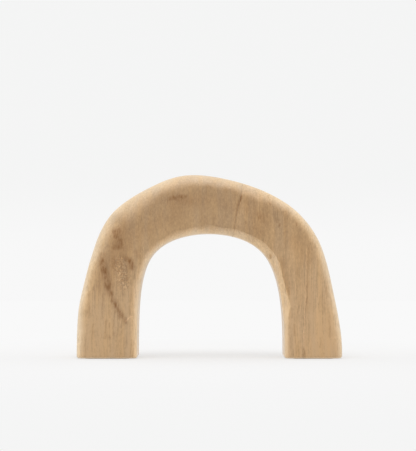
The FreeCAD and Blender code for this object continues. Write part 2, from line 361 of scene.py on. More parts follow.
def limb_rings(side):
    """The limb's rings as points in space, shaped (station, point, xyz)."""
    inner, outer, share, insets = stations(side)
    across_line = outer - inner
    width = np.linalg.norm(across_line, axis=1)
    table = LEFT_EDGES if side < 0 else RIGHT_EDGES
    seeds = {name: FIRST_SEED + SEED_STEP * rank for rank, name in enumerate(CORNERS)}
    edges = {name: edge_values(table[name], share, seeds[name]) for name in CORNERS}
    across, depth = section_rings(width, edges)
    into = inward(across, depth)
    sink = np.repeat(insets[:, None], across.shape[1], 1)
    sink[-1] += SEAM_EASE * (0.35 + 0.65 * across[-1] / width[-1])
    across, depth = across + into[0] * sink, depth + into[1] * sink
    way = across_line / width[:, None]
    flat = inner[:, None, :] + across[:, :, None] * way[:, None, :]
    return np.stack([flat[:, :, 0], depth, flat[:, :, 1]], 2)


# ---------------------------------------------------------------- meshes

def new_piece(name, mesh, node, look):
    """Puts a mesh in the scene in place of a CAD node."""
    piece = bpy.data.objects.new(name, mesh)
    bpy.context.scene.collection.objects.link(piece)
    mesh.materials.append(look)
    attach(piece, "root")
    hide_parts(node)
    return piece


def bridge(bm, first, second):
    """Quads between two closed rings of the same count."""
    for i in range(len(first)):
        j = (i + 1) % len(first)
        bm.faces.new((first[i], first[j], second[j], second[i]))


def loft(bm, rings):
    """A skin over closed rings of the same count; returns the vertices, ring by ring."""
    rows = [[bm.verts.new(place) for place in ring] for ring in rings]
    for below, above in zip(rows, rows[1:]):
        bridge(bm, below, above)
    return rows


def close_ring(bm, row, shrinks):
    """Smaller and smaller copies of a ring, to its middle, so that a flat end has no long thin faces."""
    middle = sum((vertex.co for vertex in row), Vector()) / len(row)
    last = row
    for shrink in shrinks:
        following = [bm.verts.new(middle.lerp(vertex.co, shrink)) for vertex in row]
        bridge(bm, last, following)
        last = following
    centre = bm.verts.new(middle)
    for i in range(len(last)):
        bm.faces.new((last[i], last[(i + 1) % len(last)], centre))


def rounded_rectangle(low, high, corner, directions):
    """Where rays from the middle of a rounded rectangle cross it."""
    half = (high - low) / 2
    middle = (high + low) / 2
    places = []
    for way in directions:
        scale = min(half[0] / max(abs(way[0]), 1e-9), half[1] / max(abs(way[1]), 1e-9))
        near, far = 0.0, scale
        for _ in range(30):
            trial = (near + far) / 2
            spare = np.maximum(np.abs(way) * trial - (half - corner), 0)
            inside = np.hypot(*spare) <= corner
            near, far = (trial, far) if inside else (near, trial)
        places.append(middle + way * near)
    return np.array(places)


PAD_CLEARANCE = 0.2 * MM
PAD_CORNER = 5.0 * MM
ROOF_RINGS = (0.6, 0.25)
SEAM_RINGS = (0.75, 0.5, 0.25)
FILM_RINGS = (0.7, 0.4)
SHARP = math.radians(32)


def foot_recess(bm, row, pad):
    """The flat under the foot and the shallow pocket that the felt sits in."""
    low, high = (np.array(corner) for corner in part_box(pad))
    middle = (low + high)[:2] / 2
    ways = np.array([(vertex.co.x, vertex.co.y) for vertex in row]) - middle
    ways /= np.linalg.norm(ways, axis=1)[:, None]
    corner = PAD_CORNER + PAD_CLEARANCE
    plan = rounded_rectangle(low[:2] - PAD_CLEARANCE, high[:2] + PAD_CLEARANCE, corner, ways)
    mouth = [bm.verts.new((x, y, FOOT_LEVEL)) for x, y in plan]
    roof = [bm.verts.new((x, y, high[2])) for x, y in plan]
    bridge(bm, row, mouth)
    bridge(bm, mouth, roof)
    close_ring(bm, roof, ROOF_RINGS)


def carve(mesh, held):
    """Slight hollows left by knife and sandpaper, always into the wood."""
    normals = [vertex.normal.copy() for vertex in mesh.vertices]
    for vertex, normal in zip(mesh.vertices, normals):
        if vertex.index in held:
            continue
        slow = 0.5 + 0.5 * noise.noise(vertex.co / UNDULATION_LENGTH)
        quick = 0.5 + 0.5 * noise.noise(vertex.co / RIPPLE_LENGTH + Vector((3.1, 8.2, 5.7)))
        vertex.co -= normal * (UNDULATION * slow + RIPPLE * quick)
    for vertex in mesh.vertices:
        if vertex.index not in held:
            vertex.co = np.clip(vertex.co, LOW, HIGH)
            vertex.co.z = max(vertex.co.z, FOOT_LEVEL)


BORE_SPARE = 2 * MM
BORE_CLEARANCE = 0.05 * MM
BORE_SIDES = 48


def cut_bores(piece):
    """Drills the piece for both dowels, square to the seam."""
    axis = Vector((SEAM_UP[1], 0, -SEAM_UP[0]))
    turn = axis.to_track_quat("Z", "Y").to_matrix().to_4x4()
    bm = bmesh.new()
    for dowel in ("front_dowel", "rear_dowel"):
        low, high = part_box(dowel)
        radius = (high.y - low.y) / 2 + BORE_CLEARANCE
        centre = Vector(((low.x + high.x) / 2, (low.y + high.y) / 2, (low.z + high.z) / 2))
        reach = (high.x - low.x) / abs(axis.x) + 2 * BORE_SPARE
        bmesh.ops.create_cone(bm, cap_ends=True, segments=BORE_SIDES, radius1=radius, radius2=radius,
                              depth=reach, matrix=Matrix.Translation(centre) @ turn)
    drill_mesh = bpy.data.meshes.new("drill")
    bm.to_mesh(drill_mesh)
    drill = bpy.data.objects.new("drill", drill_mesh)
    bpy.context.scene.collection.objects.link(drill)
    cut = piece.modifiers.new("bores", "BOOLEAN")
    cut.operation = "DIFFERENCE"
    cut.solver = "EXACT"
    cut.object = drill
    apply_modifiers(piece)
    bpy.data.objects.remove(drill)


def apply_modifiers(piece):
    """Replaces the piece's mesh by the one its modifiers make."""
    graph = bpy.context.evaluated_depsgraph_get()
    whole = bpy.data.meshes.new_from_object(piece.evaluated_get(graph))
    piece.modifiers.clear()
    piece.data = whole


def smooth_shading(mesh, angle):
    """Smooth shading, except across edges at least as sharp as the angle."""
    mesh.polygons.foreach_set("use_smooth", [True] * len(mesh.polygons))
    bm = bmesh.new()
    bm.from_mesh(mesh)
    for edge in bm.edges:
        edge.smooth = len(edge.link_faces) == 2 and edge.calc_face_angle(0) < angle
    bm.to_mesh(mesh)
    bm.free()


def finished_mesh(bm, name):
    """A bmesh as a mesh, with its faces turned outwards."""
    bmesh.ops.recalc_face_normals(bm, faces=bm.faces)
    mesh = bpy.data.meshes.new(name)
    bm.to_mesh(mesh)
    bm.free()
    return mesh


def make_limb(name, node, pad, side, look):
    """One carved limb, from its foot to the seam; returns its last ring, at the seam."""
    rings = limb_rings(side)
    bm = bmesh.new()
    rows = loft(bm, rings)
    foot_recess(bm, rows[0], pad)
    close_ring(bm, rows[-1], SEAM_RINGS)
    mesh = finished_mesh(bm, name)
    points = rings.shape[1]
    count = len(rings) * points
    carve(mesh, range(count, len(mesh.vertices)))
    end = np.array([mesh.vertices[i].co for i in range(count - points, count)])
    piece = new_piece(name, mesh, node, look)
    cut_bores(piece)
    smooth_shading(piece.data, SHARP)
    return end


def make_film(name, node, ring, look):
    """The film of glue in the joint, set a little below the surface of the wood."""
    shift = np.array((SEAM_UP[1], 0, -SEAM_UP[0])) * GLUE
    inward_way = ring.mean(0) - ring
    inward_way /= np.linalg.norm(inward_way, axis=1)[:, None]
    shrunk = ring + inward_way * GLUE_RECESS
    bm = bmesh.new()
    rows = loft(bm, (shrunk, shrunk + shift))
    for row in rows:
        close_ring(bm, row, FILM_RINGS)
    mesh = finished_mesh(bm, name)
    piece = new_piece(name, mesh, node, look)
    cut_bores(piece)
    smooth_shading(piece.data, SHARP)


FELT_POINTS = 160
FELT_EDGE = 0.35 * MM
FELT_BEND_STEPS = 4
FELT_RINGS = np.linspace(0.94, 0.06, 15)
FELT_FUZZ = 0.07 * MM
FELT_TUFT = 1.3 * MM
FELT_SHARP = math.radians(60)


def make_felt(name, node, look):
    """A stamped felt pad: a dense mat with soft cut edges and a slightly fuzzy surface."""
    low, high = (np.array(corner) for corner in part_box(node))
    turns = np.linspace(0, 2 * math.pi, FELT_POINTS, endpoint=False)
    ways = np.stack([np.cos(turns), np.sin(turns)], 1)
    middle = (low + high)[:2] / 2
    plan = rounded_rectangle(low[:2], high[:2], PAD_CORNER, ways) - middle
    arm = np.linalg.norm(plan, axis=1)[:, None]
    bend = np.linspace(0, math.pi / 2, FELT_BEND_STEPS)
    profile = [(FELT_EDGE * (1 - math.sin(b)), low[2] + FELT_EDGE * (1 - math.cos(b))) for b in bend]
    profile += [(0, (low[2] + high[2]) / 2)]
    profile += [(FELT_EDGE * (1 - math.cos(b)), high[2] - FELT_EDGE * (1 - math.sin(b))) for b in bend]
    rings = [np.column_stack([plan * (1 - inset / arm) + middle, np.full(FELT_POINTS, height)])
             for inset, height in profile]
    bm = bmesh.new()
    rows = loft(bm, rings)
    for row in (rows[0], rows[-1]):
        close_ring(bm, row, FELT_RINGS)
    mesh = finished_mesh(bm, name)
    normals = [vertex.normal.copy() for vertex in mesh.vertices]
    for vertex, normal in zip(mesh.vertices, normals):
        fuzz = 0.5 + 0.5 * noise.noise(vertex.co / FELT_TUFT)
        vertex.co -= normal * FELT_FUZZ * fuzz
    smooth_shading(mesh, FELT_SHARP)
    new_piece(name, mesh, node, look)


# ---------------------------------------------------------------- materials

class Nodes:
    """Short-hand for building one node tree."""

    def __init__(self, tree):
        self.tree = tree

    def add(self, kind, inputs=(), **settings):
        node = self.tree.nodes.new(kind)
        for key, value in settings.items():
            setattr(node, key, value)
        pairs = inputs.items() if isinstance(inputs, dict) else enumerate(inputs)
        for key, value in pairs:
            if isinstance(value, bpy.types.NodeSocket):
                self.tree.links.new(value, node.inputs[key])
            else:
                node.inputs[key].default_value = value
        return node

    def math(self, operation, *values, clamp=False):
        return self.add("ShaderNodeMath", values, operation=operation, use_clamp=clamp).outputs[0]

    def vector(self, operation, *values):
        return self.add("ShaderNodeVectorMath", values, operation=operation).outputs[0]

    def mix(self, factor, first, second):
        inputs = {0: factor, 6: first, 7: second}
        node = self.add("ShaderNodeMix", inputs, data_type="RGBA")
        return node.outputs[2]

    def span(self, value, low, high, start=0.0, end=1.0):
        """Smoothly from start to end as the value goes from low to high."""
        inputs = {0: value, 1: low, 2: high, 3: start, 4: end}
        return self.add("ShaderNodeMapRange", inputs, interpolation_type="SMOOTHSTEP").outputs[0]

    def place(self):
        return self.add("ShaderNodeTexCoord").outputs["Object"]

    def tinted(self, colour, tint):
        return self.vector("MULTIPLY", colour, tint)

    def surface(self):
        """The normal, its parts, and how squarely the surface faces the front or the rear."""
        normal = self.add("ShaderNodeTexCoord").outputs["Normal"]
        parts = self.add("ShaderNodeSeparateXYZ", (normal,)).outputs
        return normal, parts, self.math("ABSOLUTE", parts[1])

    def noise(self, place, scale, detail=2.0, roughness=0.5, distortion=0.0):
        stretched = self.vector("MULTIPLY", place, scale)
        inputs = {"Vector": stretched, "Scale": 1.0, "Detail": detail, "Roughness": roughness,
                  "Distortion": distortion}
        return self.add("ShaderNodeTexNoise", inputs)


def new_material(name):
    material = bpy.data.materials.new(name)
    material.use_nodes = True
    material.node_tree.nodes.clear()
    return material, Nodes(material.node_tree)


def finish_material(nodes, shader, height, distance):
    bump = nodes.add("ShaderNodeBump", {"Height": height, "Distance": distance, "Strength": 1.0})
    nodes.tree.links.new(bump.outputs[0], shader.inputs["Normal"])
    nodes.add("ShaderNodeOutputMaterial", {"Surface": shader.outputs[0]})


def stroke_group():
    """A stroke drawn on the wood: 1 away from the line between two points, less on it."""
    tree = bpy.data.node_groups.new("stroke", "ShaderNodeTree")
    sockets = (("Keep", "NodeSocketFloat"), ("Place", "NodeSocketVector"), ("From", "NodeSocketVector"),
               ("To", "NodeSocketVector"), ("Width", "NodeSocketFloat"), ("Strength", "NodeSocketFloat"))
    for name, kind in sockets:
        tree.interface.new_socket(name, in_out="INPUT", socket_type=kind)
    tree.interface.new_socket("Keep", in_out="OUTPUT", socket_type="NodeSocketFloat")
    nodes = Nodes(tree)
    given = nodes.add("NodeGroupInput").outputs
    arm = nodes.vector("SUBTRACT", given["Place"], given["From"])
    line = nodes.vector("SUBTRACT", given["To"], given["From"])
    ahead = nodes.add("ShaderNodeVectorMath", (arm, line), operation="DOT_PRODUCT").outputs[1]
    size = nodes.add("ShaderNodeVectorMath", (line, line), operation="DOT_PRODUCT").outputs[1]
    share = nodes.math("DIVIDE", ahead, nodes.math("ADD", size, 1e-9), clamp=True)
    foot = nodes.add("ShaderNodeVectorMath", {0: line, 3: share}, operation="SCALE").outputs[0]
    gap = nodes.add("ShaderNodeVectorMath", (arm, foot), operation="DISTANCE").outputs[1]
    near = nodes.span(gap, 0.0, given["Width"], 1.0, 0.0)
    keep = nodes.math("SUBTRACT", 1.0, nodes.math("MULTIPLY", near, given["Strength"]))
    nodes.add("NodeGroupOutput", (nodes.math("MULTIPLY", given["Keep"], keep),))
    return tree


def strokes(nodes, group, place, rows):
    """Multiplies the strokes of a list together: x1, z1, x2, z2, width in mm and strength."""
    keep = 1.0
    for x1, z1, x2, z2, width, strength in rows:
        inputs = {"Keep": keep, "Place": place, "From": (x1 * MM, 0, z1 * MM), "To": (x2 * MM, 0, z2 * MM),
                  "Width": width * MM, "Strength": strength}
        keep = nodes.add("ShaderNodeGroup", inputs, node_tree=group).outputs[0]
    return keep


# Each row: a stroke from x, z to x, z on the front, its half-width in mm, and its strength.
LEFT_ZONES = (
    (-90.0, 66.0, -76.0, 108.0, 24.0, 0.53), (-60.0, 108.0, -30.0, 126.0, 12.0, 0.15),
    (-32.0, 137.0, -8.0, 138.0, 13.0, 0.40), (10.0, 136.0, 26.0, 130.0, 9.0, 0.2),
)
RIGHT_ZONES = (
    (30.0, 134.0, 43.0, 121.0, 15.0, 0.42), (27.0, 116.0, 45.0, 108.0, 9.0, 0.25),
    (64.0, 84.0, 67.0, 60.0, 6.0, 0.40), (72.0, 102.0, 84.0, 88.0, 12.0, 0.28),
    (65.5, 127.0, 66.0, 108.0, 4.5, 0.22), (84.0, 64.0, 86.0, 46.0, 8.0, 0.24),
)
LEFT_STAINS = (
    (-93.4, 90.0, -91.6, 79.0, 5.8, 0.4), (-92.2, 84.0, -89.6, 71.5, 4.5, 0.59),
    (-90.0, 74.0, -87.8, 63.0, 5.6, 0.42), (-88.6, 66.0, -85.6, 57.0, 4.5, 0.38),
    (-85.6, 57.0, -81.3, 47.8, 4.5, 0.47), (-82.5, 50.0, -77.4, 39.1, 5.2, 0.47),
    (-78.4, 41.0, -72.5, 32.0, 4.2, 0.4), (-82.8, 110.6, -79.2, 111.6, 3.8, 0.60),
    (-81.8, 108.4, -81.3, 106.6, 4.0, 0.74), (-78.4, 110.0, -77.6, 104.0, 3.6, 0.34),
    (-82.6, 96.8, -79.0, 97.2, 3.4, 0.56), (-76.9, 102.2, -76.0, 97.6, 3.6, 0.50),
    (-80.0, 101.0, -78.0, 99.0, 5.0, 0.26), (-69.0, 85.0, -66.8, 79.8, 4.2, 0.68),
    (-73.2, 87.6, -70.4, 84.6, 3.8, 0.36), (-82.3, 86.0, -82.3, 80.0, 3.8, 0.26),
    (-73.0, 70.0, -69.0, 66.0, 3.4, 0.16), (-63.5, 93.0, -61.5, 89.0, 3.8, 0.24),
    (-33.8, 138.8, -31.4, 139.6, 2.7, 0.50), (-31.0, 140.0, -27.4, 139.2, 3.5, 0.52),
    (-26.8, 140.8, -24.0, 141.4, 2.9, 0.56), (-23.6, 140.2, -20.0, 141.4, 2.4, 0.42),
    (-25.0, 138.0, -17.0, 137.0, 5.0, 0.2), (-89.4, 33.0, -89.6, 18.0, 1.3, 0.25),
    (-86.3, 31.0, -86.4, 19.0, 1.3, 0.25), (-83.0, 34.0, -83.1, 20.0, 1.3, 0.22),
    (-100.9, 30.0, -101.0, 17.0, 1.5, 0.15), (-92.0, 55.0, -92.6, 36.0, 1.5, 0.22),
    (-104.0, 58.0, -104.5, 36.0, 1.9, 0.2),
)
# A dark line along the seam on both limbs, strongest at the top and fading downwards.
SEAM_DARK_LINE = (
    (27.3, 140.6, 26.3, 137.6, 2.3, 0.58), (26.4, 138.0, 25.2, 133.5, 1.8, 0.38),
    (25.2, 134.0, 23.3, 124.7, 1.5, 0.28), (23.3, 124.7, 21.5, 112.5, 1.4, 0.22),
)
RIGHT_STAINS = (
    (85.6, 95.0, 84.6, 60.0, 1.3, 0.19), (84.6, 60.0, 83.4, 30.0, 1.3, 0.19),
    (82.2, 22.0, 81.6, 9.0, 1.4, 0.17), (81.8, 8.5, 81.7, 2.0, 2.0, 0.46),
    (43.1, 123.8, 42.9, 121.6, 1.5, 0.41), (58.7, 121.2, 58.7, 118.6, 1.5, 0.45),
    (60.9, 117.3, 61.0, 115.3, 1.4, 0.38), (38.7, 114.4, 38.7, 112.4, 1.4, 0.38),
    (75.7, 117.5, 75.7, 115.6, 1.3, 0.38), (51.3, 141.7, 51.3, 139.8, 1.3, 0.34),
    (52.6, 135.6, 52.6, 133.8, 1.3, 0.38), (52.9, 89.8, 52.7, 88.2, 2.0, 0.56),
    (45.5, 123.0, 43.0, 126.0, 4.0, 0.19), (71.5, 44.0, 71.5, 36.0, 1.5, 0.22),
    (101.5, 66.0, 101.0, 56.0, 1.5, 0.22), (104.0, 40.0, 104.0, 20.0, 1.7, 0.19),
    (73.5, 30.0, 73.5, 20.0, 1.6, 0.22), (96.0, 18.0, 96.0, 10.0, 1.5, 0.19),
    (69.0, 62.0, 68.6, 56.0, 1.8, 0.3),
)
LEFT_PALE = (
    (-73.0, 32.6, -69.6, 35.6, 1.1, 0.9), (-70.4, 35.2, -66.6, 37.0, 1.0, 0.7),
    (22.4, 136.0, 20.6, 112.0, 2.2, 0.25),
)
RIGHT_PALE = (
    (84.2, 95.0, 83.2, 60.0, 0.9, 0.55), (83.2, 60.0, 81.9, 12.0, 1.0, 0.6),
    (28.5, 134.0, 26.0, 118.0, 4.0, 0.3), (33.0, 143.5, 44.0, 139.5, 3.2, 0.4),
    (52.5, 136.0, 53.5, 110.0, 3.4, 0.22), (72.0, 112.0, 72.5, 88.0, 1.6, 0.25),
    (93.0, 50.0, 93.0, 15.0, 2.2, 0.2), (77.0, 40.0, 77.0, 10.0, 1.6, 0.2),
)
SWIRLS = ((-77.0, 84.0, -74.5, 66.0, 10.5, 1.0),)

# Painted light: paler edges and sides where light falls, and whiter rims as a painted reflection. The spans
# are of how squarely a surface faces the front or the rear.
EDGE_HIGHLIGHT_FROM, EDGE_HIGHLIGHT_TO, EDGE_HIGHLIGHT_TINT = 0.70, 0.992, (1.24, 1.36, 1.55)
RIM_REFLECTION_FROM, RIM_REFLECTION_TO, RIM_REFLECTION_TINT = 0.15, 0.90, (0.97, 1.07, 1.20)
INNER_LEFT_HIGHLIGHT = {"tint": (1.31, 1.345, 1.39), "low": 0.55}
INNER_RIGHT_HIGHLIGHT = {"tint": (1.25, 1.275, 1.29), "low": 0.2}
OUTER_LEFT_HIGHLIGHT = {"tint": (1.145, 1.19, 1.24), "low": 0.9}
OUTER_RIGHT_HIGHLIGHT = {"tint": (1.13, 1.15, 1.15), "low": 0.4}
HIGHLIGHT_SIDE_TO, HIGHLIGHT_SIDE_SHARE = 0.6, 0.62
ARCH_CENTRE = (0.0, 0.0, 0.04)
OUTWARD_SPAN, INWARD_SPAN, SIDEWAYS_SPAN = (0.1, 0.3), (-0.5, -0.1), (0.15, 0.6)
OUTER_HEIGHTS, INNER_HEIGHTS = (0.05, 0.11), (0.02, 0.1)

# Each noise: its scale along x, y and z, its detail, its roughness and its distortion.
DRIFT_NOISE, DRIFT = ((45, 45, 22), 2.0), 0.006
FIBRE_NOISE, FIBRE_AMOUNT = ((900, 900, 30), 3.0, 0.55), 1.9
BANDS_NOISE, BANDS_AMOUNT = ((260, 180, 8), 3.0, 0.5), 0.9
CLOUD_NOISE, CLOUD_AMOUNT = ((60, 60, 30), 3.0, 0.6), 0.9
SPECKLE_NOISE, SPECKLE_AMOUNT = ((760, 760, 380), 3.0, 0.65), 1.35
PORE_NOISE, PORE_SPAN, PORE_AMOUNT = ((1000, 1000, 120), 1.0, 0.4), (0.67, 0.76), 0.3
HUE_NOISE, HUE_SPAN = ((150, 120, 14), 2.0), (0.35, 0.65)
WOBBLE_NOISE, WOBBLE = ((400, 400, 160), 3.0, 0.6), (0.004, 0, 0.004)
BROKEN_NOISE, BROKEN_SPAN = ((600, 600, 190), 3.0, 0.65), (0.34, 0.64, 0.5, 1.35)
SWIRL_NOISE, SWIRL_SPAN = ((660, 660, 600), 2.0, 0.6, 0.8), (0.38, 0.62)

UPRIGHT_HEIGHTS = (0.055, 0.115)
TONE_SPAN = (0.02, 0.13, -0.24, 0.36)
RIM_SPAN, RIM_CALM, HUE_CALM = (0.1, 0.85), 0.45, 0.3
FRONT_SPAN = (-0.024, -0.010)
SIDE_DARK = (0.66, 0.60, 0.50)
GREYER, YELLOWER = (0.97, 0.985, 1.02), (1.03, 1.01, 0.96)
ZONE_TINT, STAIN_TINT = (0.80, 0.70, 0.57), (0.60, 0.41, 0.20)
PALE_TINT = (1.30, 1.32, 1.36)
SWIRL_PALE, SWIRL_DIM = (1.34, 1.35, 1.36), (0.96, 0.87, 0.77)
PORE_DEPTH, SPECKLE_RELIEF, SWIRL_RELIEF = -0.9, 1.2, 1.6
WOOD_RELIEF = 0.14 * MM
MIDDLE_GREY = (0.5, 0.5, 0.5)


def painted_edge_highlights(nodes, place, colour, inside, outside):
    """Painted highlights: paler wood along the edges and inside and outside the arch, and a painted reflection
    on the curved rims.
    """
    normal, parts, facing = nodes.surface()
    # Painted highlight along the edges.
    edge = nodes.span(facing, EDGE_HIGHLIGHT_FROM, EDGE_HIGHLIGHT_TO, 1.0, 0.0)
    # Painted reflection, paler and whiter, on the curved rims.
    rim = nodes.span(facing, RIM_REFLECTION_FROM, RIM_REFLECTION_TO, 1.0, 0.0)
    outwards = nodes.vector("SUBTRACT", place, ARCH_CENTRE)
    outwards = nodes.vector("NORMALIZE", nodes.vector("MULTIPLY", outwards, (1, 0, 1)))
    radial = nodes.add("ShaderNodeVectorMath", (normal, outwards), operation="DOT_PRODUCT").outputs[1]
    sideways = nodes.math("ABSOLUTE", parts[0])
    height = nodes.add("ShaderNodeSeparateXYZ", (place,)).outputs[2]
    # Painted highlights on the outer and the inner sides of the arch.
    outer = nodes.math("MULTIPLY", nodes.span(radial, *OUTWARD_SPAN), nodes.span(sideways, *SIDEWAYS_SPAN))
    outer = nodes.math("MULTIPLY", outer, nodes.span(height, *OUTER_HEIGHTS, outside["low"], 1.0))
    inner = nodes.span(radial, *INWARD_SPAN, 1.0, 0.0)
    inner = nodes.math("MULTIPLY", inner, nodes.span(height, *INNER_HEIGHTS, inside["low"], 1.0))
    # The painted highlights are weaker on surfaces that face neither the front nor the rear.
    side = nodes.span(facing, 0.0, HIGHLIGHT_SIDE_TO, HIGHLIGHT_SIDE_SHARE, 1.0)
    layers = ((edge, EDGE_HIGHLIGHT_TINT), (rim, RIM_REFLECTION_TINT), (inner, inside["tint"]), (outer, outside["tint"]))
    for share, tint in layers:
        share = nodes.math("MULTIPLY", share, side)
        colour = nodes.mix(share, colour, nodes.tinted(colour, tint))
    return colour


def wood_layers(nodes, place, height, upright):
    """The noises that the wood's tone and relief share, and how strongly the fibres show."""
    drift = nodes.vector("SUBTRACT", nodes.noise(place, *DRIFT_NOISE).outputs["Color"], MIDDLE_GREY)
    drifted = nodes.vector("ADD", place, nodes.vector("MULTIPLY", drift, (DRIFT, DRIFT, DRIFT)))
    layers = {
        "fibre": nodes.noise(drifted, *FIBRE_NOISE).outputs[0],
        "bands": nodes.noise(drifted, *BANDS_NOISE).outputs[0],
        "cloud": nodes.noise(drifted, *CLOUD_NOISE).outputs[0],
        "speckle": nodes.noise(drifted, *SPECKLE_NOISE).outputs[0],
        "pores": nodes.span(nodes.noise(drifted, *PORE_NOISE).outputs[0], *PORE_SPAN),
    }
    return drifted, layers, nodes.span(height, *UPRIGHT_HEIGHTS, 1.0, upright)


def wood_tone(nodes, height, layers, along, tone_shift):
    """How dark the wood is, from 0 to 1: darker higher up, with upright fibres that fade with height."""
    tone = nodes.math("ADD", nodes.span(height, *TONE_SPAN), tone_shift)
    for name, amount, fades in (("fibre", FIBRE_AMOUNT, True), ("bands", BANDS_AMOUNT, True),
                                ("cloud", CLOUD_AMOUNT, False), ("speckle", SPECKLE_AMOUNT, False)):
        centred = nodes.math("SUBTRACT", layers[name], 0.5)
        if fades:
            centred = nodes.math("MULTIPLY", centred, along)
        tone = nodes.math("MULTIPLY_ADD", centred, amount, tone)
    tone = nodes.math("MULTIPLY_ADD", layers["pores"], PORE_AMOUNT, tone)
    return nodes.math("ADD", tone, 0.0, clamp=True)


def bare_colour(nodes, drifted, tone, light, dark):
    """The wood's colour before any mark, calmer and warmer on the rims and the sides."""
    facing = nodes.surface()[2]
    tone = nodes.math("MULTIPLY", tone, nodes.span(facing, *RIM_SPAN, RIM_CALM, 1.0))
    side_dark = nodes.tinted(light[:3], SIDE_DARK)
    colour = nodes.mix(tone, light, nodes.mix(nodes.span(facing, *RIM_SPAN), side_dark, dark))
    hue = nodes.span(nodes.noise(drifted, *HUE_NOISE).outputs[0], *HUE_SPAN, -0.5, 0.5)
    hue = nodes.math("MULTIPLY_ADD", hue, nodes.span(facing, *RIM_SPAN, HUE_CALM, 1.0), 0.5)
    return nodes.mix(hue, nodes.tinted(colour, GREYER), nodes.tinted(colour, YELLOWER))


def mark_drawer(nodes, place, depth, group):
    """Gives a function that draws a list of strokes, with unsteady edges, on the front only."""
    wobble = nodes.vector("SUBTRACT", nodes.noise(place, *WOBBLE_NOISE).outputs["Color"], MIDDLE_GREY)
    flat = nodes.vector("MULTIPLY", place, (1, 0, 1))
    flat = nodes.vector("ADD", flat, nodes.vector("MULTIPLY", wobble, WOBBLE))
    front = nodes.span(depth, *FRONT_SPAN, 1.0, 0.0)

    def drawn(rows):
        keep = strokes(nodes, group, flat, rows)
        return nodes.math("MULTIPLY", nodes.math("SUBTRACT", 1.0, keep), front)

    return drawn


def marked_colour(nodes, drifted, drawn, colour, dark, marks):
    """Zones, stains and pale scratches over the bare wood."""
    broken = nodes.span(nodes.noise(drifted, *BROKEN_NOISE).outputs[0], *BROKEN_SPAN)
    colour = nodes.mix(drawn(marks["zones"]), colour, nodes.tinted(colour, ZONE_TINT))
    stain = nodes.math("MULTIPLY", drawn(marks["stains"]), broken, clamp=True)
    stain_colour = tuple(part * share for part, share in zip(dark, STAIN_TINT)) + (1,)
    colour = nodes.mix(stain, colour, stain_colour)
    return nodes.mix(drawn(marks["pale"]), colour, nodes.tinted(colour, PALE_TINT))


def add_swirls(nodes, place, drawn, colour, height, rows):
    """The pitted, swirled grain round the knot: colour and relief."""
    swirl = nodes.span(nodes.noise(place, *SWIRL_NOISE).outputs[0], *SWIRL_SPAN, -1.0, 1.0)
    swirl = nodes.math("MULTIPLY", swirl, drawn(rows))
    pale = nodes.mix(nodes.math("MAXIMUM", swirl, 0.0), colour, nodes.tinted(colour, SWIRL_PALE))
    pit = nodes.math("MAXIMUM", nodes.math("MULTIPLY", swirl, -1.0), 0.0)
    colour = nodes.mix(pit, pale, nodes.tinted(pale, SWIRL_DIM))
    return colour, nodes.math("MULTIPLY_ADD", swirl, SWIRL_RELIEF, height)


def wood(name, light, dark, marks, tone_shift, upright, group):
    """Smooth carved hardwood: fine speckle, upright fibres, stains, a knot and pale scratches."""
    material, nodes = new_material(name)
    place = nodes.place()
    _, depth, height = nodes.add("ShaderNodeSeparateXYZ", (place,)).outputs
    drifted, layers, along = wood_layers(nodes, place, height, upright)
    tone = wood_tone(nodes, height, layers, along, tone_shift)
    colour = bare_colour(nodes, drifted, tone, light, dark)
    drawn = mark_drawer(nodes, place, depth, group)
    colour = marked_colour(nodes, drifted, drawn, colour, dark, marks)
    relief = nodes.math("MULTIPLY", layers["speckle"], SPECKLE_RELIEF)
    relief = nodes.math("MULTIPLY_ADD", layers["pores"], PORE_DEPTH, relief)
    relief = nodes.math("ADD", relief, nodes.math("MULTIPLY", layers["fibre"], along))
    if marks["swirls"]:
        colour, relief = add_swirls(nodes, place, drawn, colour, relief, marks["swirls"])
    # Painted highlights on the edges and sides, and a painted reflection on the rims.
    colour = painted_edge_highlights(nodes, place, colour, marks["inside"], marks["outside"])
    rough = nodes.math("MULTIPLY_ADD", layers["fibre"], 0.16, 0.44)
    shader = nodes.add("ShaderNodeBsdfPrincipled", {
        "Base Color": colour, "Roughness": rough, "Specular IOR Level": 0.5, "Sheen Weight": 0.4,
        "Sheen Roughness": 0.4})
    finish_material(nodes, shader, relief, WOOD_RELIEF)
    return material


def glue_look():
    """Dried wood glue with sanding dust in it, sanded with the wood."""
    material, nodes = new_material("glue_film")
    place = nodes.place()
    dust = nodes.noise(place, (900, 900, 900), 3.0, 0.6).outputs[0]
    colour = nodes.mix(nodes.span(dust, 0.35, 0.65), (0.40, 0.255, 0.135, 1), (0.50, 0.33, 0.18, 1))
    # Painted highlights on the film's edges and sides, as on the right limb.
    colour = painted_edge_highlights(nodes, place, colour, INNER_RIGHT_HIGHLIGHT, OUTER_RIGHT_HIGHLIGHT)
    rough = nodes.math("MULTIPLY_ADD", dust, 0.3, 0.45)
    shader = nodes.add("ShaderNodeBsdfPrincipled", {"Base Color": colour, "Roughness": rough})
    finish_material(nodes, shader, dust, 0.05 * MM)
    return material


def dowel_look():
    """Plain beech dowel: fine grain along the pin."""
    material, nodes = new_material("dowel_beech")
    place = nodes.place()
    grain = nodes.noise(place, (60, 1500, 1500), 3.0, 0.55).outputs[0]
    fleck = nodes.span(nodes.noise(place, (250, 2500, 2500), 1.0).outputs[0], 0.6, 0.72)
    colour = nodes.mix(grain, (0.56, 0.36, 0.2, 1), (0.42, 0.25, 0.13, 1))
    colour = nodes.mix(nodes.math("MULTIPLY", fleck, 0.4), colour, (0.28, 0.15, 0.08, 1))
    rough = nodes.math("MULTIPLY_ADD", grain, 0.2, 0.45)
    shader = nodes.add("ShaderNodeBsdfPrincipled", {"Base Color": colour, "Roughness": rough})
    finish_material(nodes, shader, grain, 0.08 * MM)
    return material


